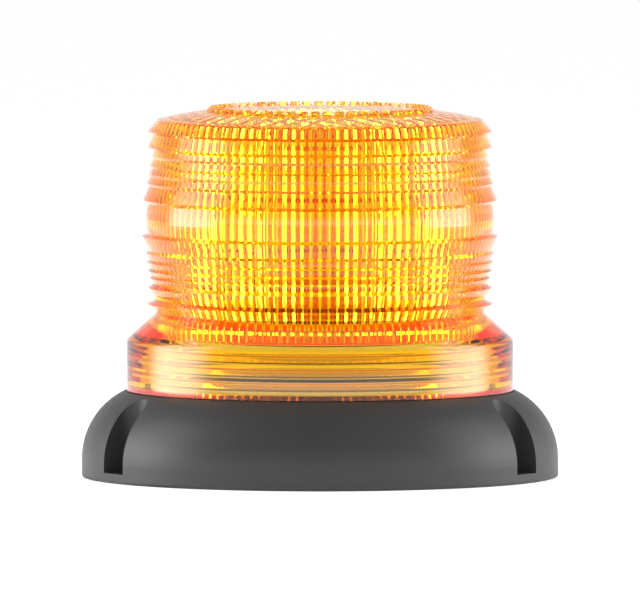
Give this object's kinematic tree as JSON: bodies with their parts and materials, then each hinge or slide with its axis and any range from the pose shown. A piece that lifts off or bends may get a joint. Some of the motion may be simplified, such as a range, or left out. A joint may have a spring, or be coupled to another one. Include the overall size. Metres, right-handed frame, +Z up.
{
  "type": "warning light with buzzer",
  "caption": "Round surface-mounted amber warning light with a screw-on prism-ring dome lens, a black moulded base with open bolt pockets, and a buzzer inside.",
  "frame": {"origin": "centre of the base's underside, on the mounting surface", "axes": "+Z up along the lens's axis; the front, between two bolt pockets, faces -Y; the third pocket is at +Y"},
  "size_m": [0.128, 0.128, 0.0995],
  "materials": {
    "black_plastic": "fine moulded satin",
    "amber_plastic": "clear amber, polished",
    "white_plastic": "satin",
    "cover_plastic": "satin",
    "black_rubber": "matte",
    "steel": "zinc plated",
    "green_board": "solder mask",
    "white_board": "white solder mask",
    "led_package": "moulded, with yellow phosphor",
    "ferrite": "sintered ferrite",
    "capacitor_can": "sleeved can",
    "chip_plastic": "moulded epoxy",
    "terminal_plastic": "moulded",
    "diaphragm_brass": "rolled",
    "piezo_ceramic": "silvered ceramic",
    "mesh_fabric": "fine woven mesh",
    "tower_aluminium": "extruded",
    "wire_insulation": "insulated wire"
  },
  "bodies": {
    "base": {"base_housing": "black_plastic", "bottom_cover": "cover_plastic", "cover_gasket": "black_rubber", "cover_screws": "steel", "cable_grommet": "black_rubber", "sound_mesh": "mesh_fabric", "driver_board": "green_board", "board_screws": "steel", "inductor": "ferrite", "capacitors": "capacitor_can", "power_transistor": "chip_plastic", "control_chip": "chip_plastic", "terminal_block": "terminal_plastic", "buzzer_case": "chip_plastic", "buzzer_diaphragm": "diaphragm_brass", "piezo_disc": "piezo_ceramic", "buzzer_seal": "black_rubber", "led_carrier": "white_plastic", "carrier_screws": "steel", "led_base_board": "white_board", "base_leds": "led_package", "led_tower": "tower_aluminium", "tower_screws": "steel", "tower_boards": "white_board", "tower_leds": "led_package", "top_board": "white_board", "top_leds": "led_package", "led_wires": "wire_insulation"},
    "seal": {"lens_seal": "black_rubber"},
    "lens": {"amber_lens": "amber_plastic"}
  },
  "joints": [
    {"name": "lens_lift", "type": "slide", "parent": "base", "child": "seal", "axis": [0, 0, 1], "range_m": [0, 0.0105]},
    {"name": "lens_turn", "type": "hinge", "parent": "seal", "child": "lens", "pos_m": [0, 0, 0.0234], "axis": [0, 0, 1], "range_deg": [0, 1080]}
  ],
  "couplings": [
    {"joint": "lens_lift", "follows": "lens_turn", "m_per_rad": 0.00055704}
  ]
}
